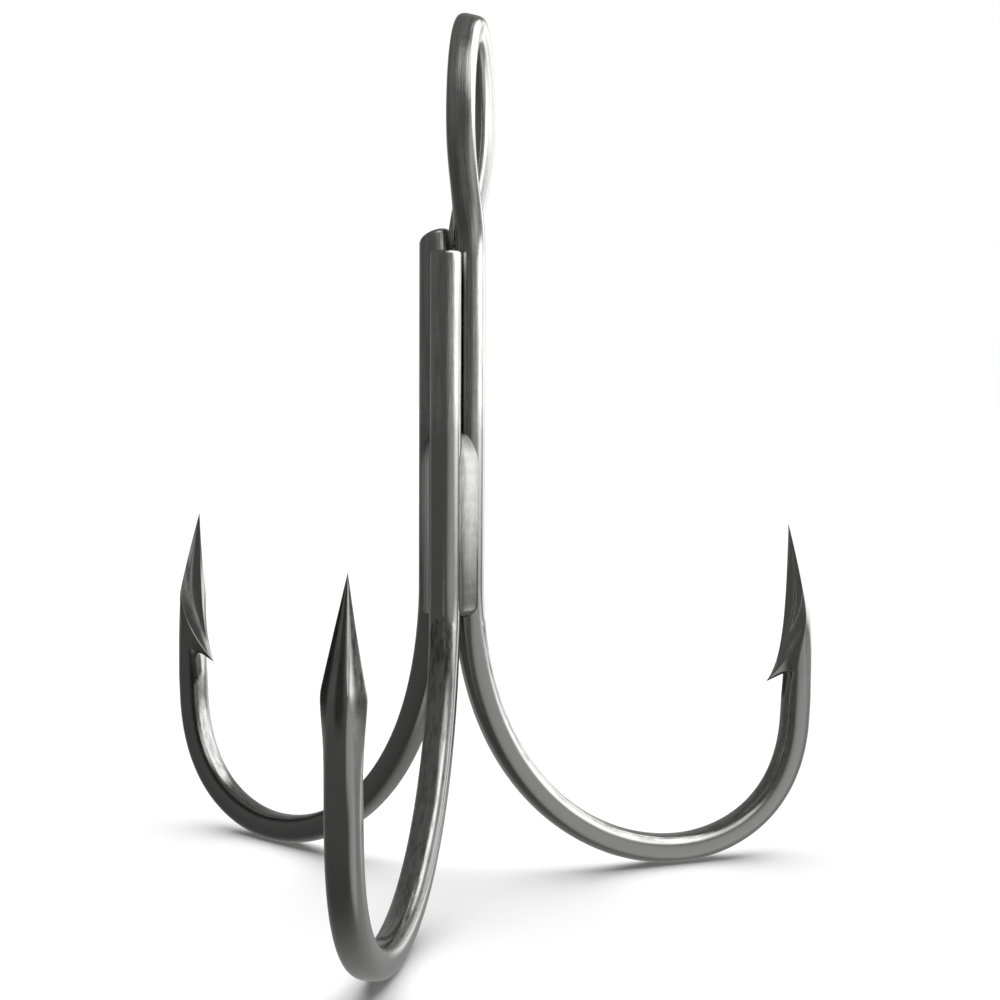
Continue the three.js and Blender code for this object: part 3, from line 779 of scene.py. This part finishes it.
def hook_steel(name, tone, roughness, streak, mottle):
    """Dark bright-drawn steel: streaks along the wire, a hammered skin where it was forged that is partly
    painted shade, and painted shade in the grooves and along the inner face's edge.
    """
    material, n = new_material(name)
    grain = n.attribute("grain")
    depth = n.parts(grain)["X"]
    forged, ground, cropped = n.parts(n.attribute("finish_and_shade"))
    level = n.parts(n.add("NewGeometry").outputs["Position"])["Z"]
    drawn, rolled = n.stretched(grain, 0.05), n.stretched(grain, 0.2)
    broad, fine = n.noise(drawn, 2.2, 4.0, 0.6), n.noise(drawn, 9.0, 3.0, 0.6)
    skin, pits = n.noise(grain, 1.4, 5.0, 0.62), n.noise(grain, 4.2, 4.0, 0.6)
    dents = n.noise(rolled, 1.6, 4.0, 0.6)
    patches = n.band(n.noise(rolled, 2.6, 4.0, 0.65), 0.42, 0.66)

    # The wires are smooth where the filler has wetted them, and drawn above that.
    above = n.band(level, *DRAWN_FROM)
    lengthwise = n.plus(broad, n.times(fine, FINE_STREAKS))
    streaks = n.times(lengthwise, above)
    # Painted shade in the grooves between the shanks, on each wire's side towards the axis.
    groove = n.times(n.band(depth, *GROOVE_SHADE_DEPTH), n.band(level, *GROOVE_SHADE_FOOT))
    groove = n.times(groove, n.band(level, *GROOVE_SHADE_HEAD, 1.0, 0.0))

    filed = n.times(n.times(pits, PIT_DEPTH), n.plus(ground, n.times(cropped, CROP_PITS)))
    relief = n.plus(n.times(streaks, streak), n.times(n.times(dents, forged), mottle))
    relief = n.plus(relief, n.times(filed, mottle))

    shade = n.band(n.plus(n.times(streaks, 0.6), n.times(skin, 0.4)), 0.2, 0.8)
    colour = n.blend(shade, grey(tone * 0.8), grey(tone * 1.2))
    drawn_marks = n.times(n.band(lengthwise, 0.65, 1.0), above)
    colour = n.blend(n.times(drawn_marks, 0.4), colour, grey(DRAWN_MARK_TONE))
    # Darkened towards one tone: the forged face (mottled scale and partly painted shade), the ground
    # facets, the cropped end, and painted shade in the grooves and along the inner face's edge.
    dulled_and_shaded = n.most(
        n.times(forged, n.plus(n.times(patches, 0.36), 0.06)),
        n.times(ground, n.plus(n.times(patches, 0.12), 0.84)),
        n.times(cropped, n.plus(n.times(patches, 0.25), 0.7)),
        n.times(groove, 0.75),
    )
    colour = n.blend(dulled_and_shaded, colour, grey(SCALE_AND_SHADE_TONE))

    rough = n.band(skin, 0.3, 0.7, roughness * 0.8, roughness * 1.25)
    rough = n.plus(rough, n.times(n.plus(ground, cropped), FRESH_ROUGHNESS))
    n.metal(colour, rough, n.bump(1.0, 0.001, relief))
    return material


def braze(name, tone, roughness):
    """Bright filler metal, with painted shade at its head, foot and rim."""
    material, n = new_material(name)
    grain = n.attribute("grain")
    ripple = n.noise(n.stretched(grain, 0.25), 1.1, 3.0, 0.5)
    colour = n.blend(ripple, grey(tone * 0.9), grey(tone * 1.1))

    # Painted shade: its head is as dark as the wires, so that it fades out between them, and its foot, rim
    # and lowest tip are darkened too.
    run = n.parts(grain)["Z"]
    across = n.add("Math", {0: n.parts(grain)["Y"]}, operation="ABSOLUTE").outputs[0]
    head = n.band(n.plus(run, ripple), BRAZE_TOP - 3.6, BRAZE_TOP - 0.4, 0.0, 0.9)
    foot = n.band(run, BRAZE_BOTTOM + 12, BRAZE_BOTTOM + 1.5, 0.0, 0.62)
    low = n.band(run, BRAZE_BOTTOM + 8, BRAZE_BOTTOM + 5, 0.0, 0.9)
    rim = n.times(n.band(across, 1.1, 1.25), low)
    tip = n.band(run, BRAZE_BOTTOM + 0.55, BRAZE_BOTTOM + 0.2, 0.0, 0.9)
    colour = n.blend(n.most(head, foot, rim, tip), colour, grey(BRAZE_SHADE_TONE))

    rough = n.band(ripple, 0.3, 0.7, roughness * 0.85, roughness * 1.2)
    n.metal(colour, rough, n.bump(0.5, 0.00008, ripple))
    return material


# ---- Pieces ------------------------------------------------------------------------------------


def place(piece, node, material, slot):
    piece.data.materials.append(material)
    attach(piece, "root")
    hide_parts(node)


steel = hook_steel("hook_steel", 0.52, 0.17, 0.014, 0.03)
steel_cropped = hook_steel("hook_steel_rough", 0.45, 0.2, 0.03, 0.03)
filler = braze("braze_filler", 0.52, 0.2)

SQUARE_CUT, ROUGH_CUT = 0.004, 0.05     # how uneven a cropped end is

front_hook = plain_hook("front_hook_wire", FRONT_SHANK_TOP, FRONT_ANGLE, SQUARE_CUT)
place(front_hook, "front_hook", steel, "hook_steel")
left_hook = plain_hook("left_hook_wire", LEFT_SHANK_TOP, LEFT_ANGLE, ROUGH_CUT)
place(left_hook, "left_hook", steel_cropped, "hook_steel")
place(eyed_hook("eyed_hook_wire"), "eyed_hook", steel, "hook_steel")

for node, facing in (("braze_front_right", -30), ("braze_front_left", 210), ("braze_rear", 90)):
    place(shank_seam(node + "_fillet", facing), node, filler, "braze_filler")
tail_seams = ("braze_tail_right", RIGHT_ANGLE, -90), ("braze_tail_left", LEFT_ANGLE, 90)
for node, shank_angle, turn in tail_seams:
    place(tail_seam(node + "_fillet", shank_angle, turn), node, filler, "braze_filler")

# ---- Camera ------------------------------------------------------------------------------------

CAMERA_AT = Vector((0.03286, -0.14805, 0.04807))
CAMERA_HEADING = 10.04     # degrees from +Y towards -X
CAMERA_PITCH = 3.685       # degrees down
CAMERA_ROLL = 0.285
CAMERA_LENS = 60.11

camera_data = bpy.data.cameras.new("camera")
camera_data.lens = CAMERA_LENS
camera_data.sensor_width = 36.0
camera_data.clip_start = 0.005
camera_data.clip_end = 20.0
camera = bpy.data.objects.new("camera", camera_data)
bpy.context.scene.collection.objects.link(camera)
aim = (
    Matrix.Rotation(math.radians(CAMERA_HEADING), 4, "Z")
    @ Matrix.Rotation(math.radians(90 - CAMERA_PITCH), 4, "X")
    @ Matrix.Rotation(math.radians(CAMERA_ROLL), 4, "Z")
)
camera.matrix_world = Matrix.Translation(CAMERA_AT) @ aim
bpy.context.scene.camera = camera

# ---- Floor and light ---------------------------------------------------------------------------

# One wide soft light from overhead, which casts the shadows on the floor and isn't seen in the metal.
SUN_AZIMUTH, SUN_ELEVATION = 100, 68
SUN_WIDTH = 80            # degrees
SUN_STRENGTH = 3.85

sky_data = bpy.data.lights.new("light_over", "SUN")
sky_data.angle = math.radians(SUN_WIDTH)
sky_data.energy = SUN_STRENGTH
sky = bpy.data.objects.new("light_over", sky_data)
bpy.context.scene.collection.objects.link(sky)
sky.rotation_euler = (0, math.radians(90 - SUN_ELEVATION), math.radians(SUN_AZIMUTH))
sky.visible_glossy = False

FLOOR_REACH = 6.0
FLOOR_GAP = 0.00005       # the floor lies just below the bends
FLOOR_TONE = 0.86
FLOOR_GLOW = 0.06

floor_mesh = bpy.data.meshes.new("floor")
corners = [(-1, -1), (1, -1), (1, 1), (-1, 1)]
floor_mesh.from_pydata([(x * FLOOR_REACH, y * FLOOR_REACH, 0) for x, y in corners], [], [(0, 1, 2, 3)])
floor = bpy.data.objects.new("floor", floor_mesh)
floor.location.z = cad_low.z - FLOOR_GAP
bpy.context.scene.collection.objects.link(floor)
floor_pale, pale = new_material("floor_pale")
matt = pale.add("BsdfPrincipled", {
    "Base Color": (FLOOR_TONE, FLOOR_TONE, FLOOR_TONE, 1.0), "Roughness": 0.9,
    "Emission Color": (1, 1, 1, 1), "Emission Strength": FLOOR_GLOW,
})
pale.add("OutputMaterial", {"Surface": matt.outputs[0]})
floor_mesh.materials.append(floor_pale)
floor.visible_glossy = False

# The room as polished metal sees it: a dim room, brighter overhead, with soft panels of light.
# Each panel has its azimuth from +X and its elevation, the angles out to which it is at its full
# strength and at none, all in degrees, and its strength.
PANELS = {
    "softbox_right": (10, 35, 30, 45, 2.5),
    "softbox_front": (-50, 35, 10, 25, 1.2),
    "lamp_behind": (60, 5, 5, 25, 1.5),
    "floor_glow_right": (60, -30, 0, 110, 0.3),
    "floor_glow_front": (-35, -20, 0, 40, 0.4),
}
ROOM_LEVEL, ROOM_RISE = 0.12, 0.05
BACKDROP, AMBIENT = 1.0, 0.05

world = bpy.data.worlds.new("studio")
world.use_nodes = True
studio = Nodes(world.node_tree)
toward = studio.add("TexCoord").outputs["Generated"]
height = studio.add("SeparateXYZ", {0: toward}).outputs["Z"]
glow = studio.plus(studio.times(height, ROOM_RISE), ROOM_LEVEL)
for azimuth, elevation, inner, outer, strength in PANELS.values():
    around, above = math.radians(azimuth), math.radians(elevation)
    aim_at = (math.cos(around) * math.cos(above), math.sin(around) * math.cos(above), math.sin(above))
    facing = studio.add("VectorMath", {0: toward, 1: aim_at}, operation="DOT_PRODUCT").outputs["Value"]
    dark_from, full_to = math.cos(math.radians(outer)), math.cos(math.radians(inner))
    glow = studio.plus(glow, studio.band(facing, dark_from, full_to, 0.0, strength))
rays = studio.add("LightPath").outputs["Is Glossy Ray"]
room = studio.add("Background", {"Color": (1, 1, 1, 1), "Strength": glow})
scattered = studio.add("LightPath").outputs["Is Diffuse Ray"]
level = studio.band(scattered, 0.0, 1.0, BACKDROP, AMBIENT)
backdrop = studio.add("Background", {"Color": (1, 1, 1, 1), "Strength": level})
choice = studio.add("MixShader", {0: rays, 1: backdrop.outputs[0], 2: room.outputs[0]})
studio.add("OutputWorld", {0: choice.outputs[0]})
bpy.context.scene.world = world
bpy.context.scene.view_settings.view_transform = "Standard"
